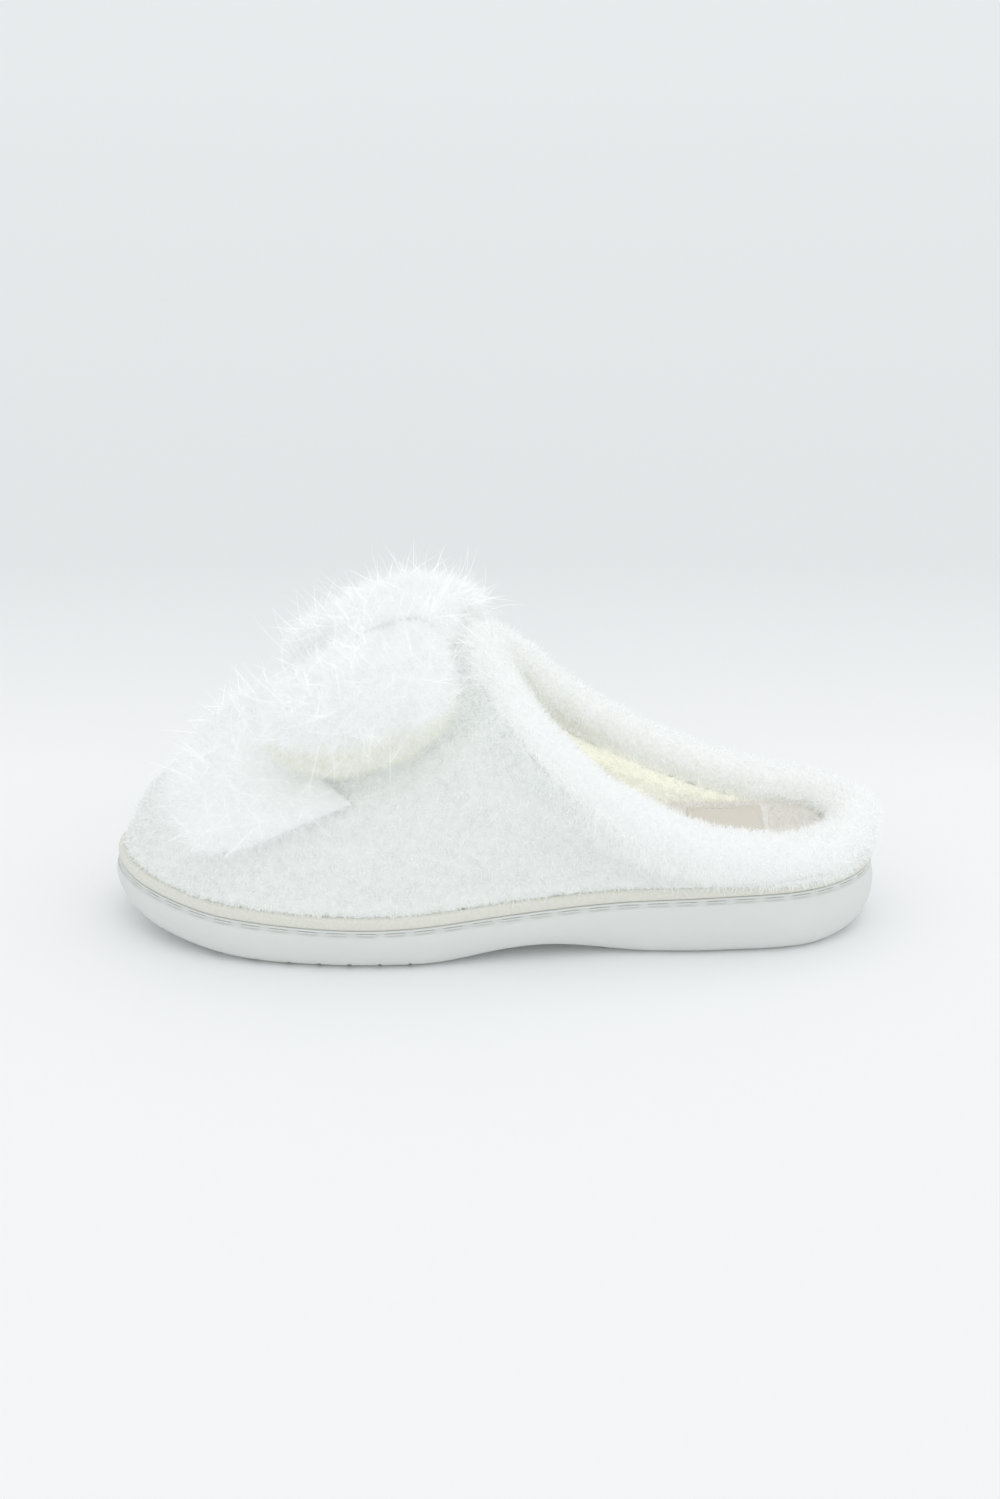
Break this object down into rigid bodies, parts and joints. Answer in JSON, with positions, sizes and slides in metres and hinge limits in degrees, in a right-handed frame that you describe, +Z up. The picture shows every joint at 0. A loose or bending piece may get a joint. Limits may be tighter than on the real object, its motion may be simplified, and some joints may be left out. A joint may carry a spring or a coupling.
{
  "type": "mule slipper",
  "caption": "Left closed-toe plush mule slipper with a cupped sole, a sewn welt, a padded rolled collar and a stuffed tinsel bow on the vamp.",
  "frame": {"origin": "on the floor, under the middle of the slipper's bounding box", "axes": "+X from toe to heel along the foot, +Y towards the inner side of the foot, +Z up"},
  "size_m": [0.2574, 0.102, 0.1196],
  "materials": {
    "sole_compound": "satin moulded off-white",
    "welt_compound": "satin cream",
    "thread": "twisted off-white sewing thread",
    "foam": "open-cell cream foam",
    "board": "matt cellulose fibre board",
    "plush": "short curled white pile",
    "collar_plush": "short dense white pile",
    "lining": "short cream pile",
    "sock": "short flattened off-white pile",
    "label": "plain beige woven tape",
    "stiffener": "needled felt",
    "bow_plush": "long white pile with iridescent tinsel",
    "filling": "loose polyester fibre"
  },
  "bodies": {
    "root": {"outsole": "sole_compound", "sole_welt": "welt_compound", "sidewall_thread": "thread", "midsole_foam": "foam", "insole_board": "board", "lasting_thread": "thread", "footbed_cushion": "foam", "footbed_sock": "sock", "sock_label": "label", "upper_shell": "plush", "toe_stiffener": "stiffener", "upper_padding": "foam", "upper_lining": "lining", "collar_cover": "collar_plush", "collar_core": "foam", "bow_knot": "bow_plush", "bow_bartack": "thread", "bow_loop_lateral": "bow_plush", "bow_loop_medial": "bow_plush", "bow_filling_lateral": "filling", "bow_filling_medial": "filling", "bow_tail_lateral": "bow_plush", "bow_tail_medial": "bow_plush"}
  },
  "joints": []
}
